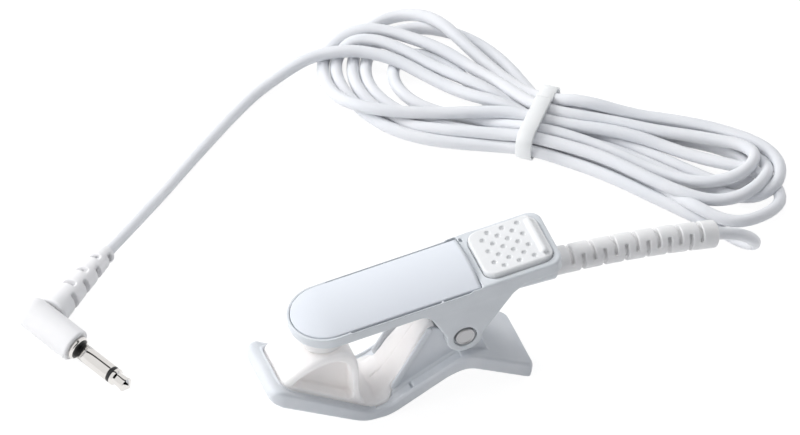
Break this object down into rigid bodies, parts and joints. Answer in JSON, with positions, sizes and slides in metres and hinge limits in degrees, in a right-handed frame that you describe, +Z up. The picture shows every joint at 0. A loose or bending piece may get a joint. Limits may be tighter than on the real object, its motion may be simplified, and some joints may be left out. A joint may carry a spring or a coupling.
{
  "type": "clip-on tuner pickup",
  "caption": "Sprung clip with a soft jaw pad and a contact disc that feeds an instrument tuner through a tied cord and a right-angle mini plug.",
  "frame": {"origin": "on the table under the middle of the clip's length and width", "axes": "+X along the clip from the nose to the cord, +Y to the far side, +Z up; the clip stands closed on the table on the knee and the tail of its lower jaw"},
  "size_m": [0.1588, 0.1043, 0.0315],
  "materials": {
    "arm_plastic": "satin moulded ABS",
    "cover_plastic": "smooth moulded ABS",
    "pad_plastic": "satin moulded ABS",
    "foot_rubber": "matte elastomer",
    "brass": "rolled",
    "piezo_ceramic": "fired, silvered",
    "foam": "adhesive foam",
    "red_wire": "PVC insulation",
    "black_wire": "PVC insulation",
    "crimp_steel": "crimped",
    "jaw_plastic": "satin moulded ABS",
    "pad_elastomer": "milky translucent elastomer",
    "pin_steel": "turned and polished",
    "spring_steel": "drawn wire",
    "boot_pvc": "moulded soft PVC",
    "cord_pvc": "smooth PVC jacket",
    "tie_plastic": "soft white band",
    "plug_pvc": "moulded soft PVC",
    "nickel": "bright nickel plate",
    "insulator_black": "moulded insulator"
  },
  "bodies": {
    "clip_body": {"upper_arm": "arm_plastic", "top_cover": "cover_plastic", "thumb_pad": "pad_plastic", "nose_foot": "foot_rubber", "piezo_plate": "brass", "piezo_ceramic": "piezo_ceramic", "piezo_foam": "foam", "signal_wire": "red_wire", "ground_wire": "black_wire", "cord_retainer": "crimp_steel", "pivot_pin": "pin_steel", "torsion_spring": "spring_steel", "strain_relief": "boot_pvc", "cord_exit": "cord_pvc", "cord_hank": "cord_pvc", "cord_lead": "cord_pvc", "cable_tie": "tie_plastic", "plug_housing": "plug_pvc", "plug_boot": "plug_pvc", "plug_flange": "nickel", "plug_sleeve": "nickel", "plug_insulator": "insulator_black", "plug_tip": "nickel", "plug_rod": "brass"},
    "jaw": {"lower_jaw": "jaw_plastic", "jaw_pad": "pad_elastomer"}
  },
  "joints": [
    {"name": "jaw_hinge", "type": "hinge", "parent": "clip_body", "child": "jaw", "pos_m": [0.00865, 0, 0.0161], "axis": [0, -1, 0], "range_deg": [0, 35], "stiffness_Nm_per_rad": 0.05, "springref_deg": -68.75, "deforming": ["torsion_spring"]}
  ]
}
